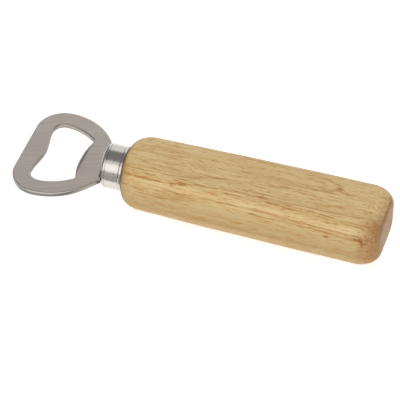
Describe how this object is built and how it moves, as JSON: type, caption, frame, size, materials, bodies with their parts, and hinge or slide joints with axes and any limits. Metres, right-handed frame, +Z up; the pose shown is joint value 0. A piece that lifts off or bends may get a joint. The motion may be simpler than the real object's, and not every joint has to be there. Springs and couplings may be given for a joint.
{
  "type": "bottle opener",
  "caption": "Hand-held crown-cap opener: flat rounded steel head with a cap opening and lifting tooth, short round steel ferrule, and a chunky rounded wooden handle.",
  "frame": {"origin": "under the middle of the opener, on the surface that the handle's flat underside rests on", "axes": "+X along the opener from the head to the butt, +Y across it, +Z up from the underside; the opener is the same on both sides of Y = 0"},
  "size_m": [0.1538, 0.0496, 0.023],
  "materials": {
    "head_steel": "brushed along the length of the opener, satin",
    "ferrule_steel": "drawn and polished",
    "handle_wood": "pale rubberwood, sanded, thin clear satin lacquer",
    "adhesive": "cured amber epoxy, hidden inside the handle"
  },
  "bodies": {
    "root": {"opener_head": "head_steel", "ferrule": "ferrule_steel", "handle": "handle_wood", "tang_adhesive": "adhesive"}
  },
  "joints": []
}
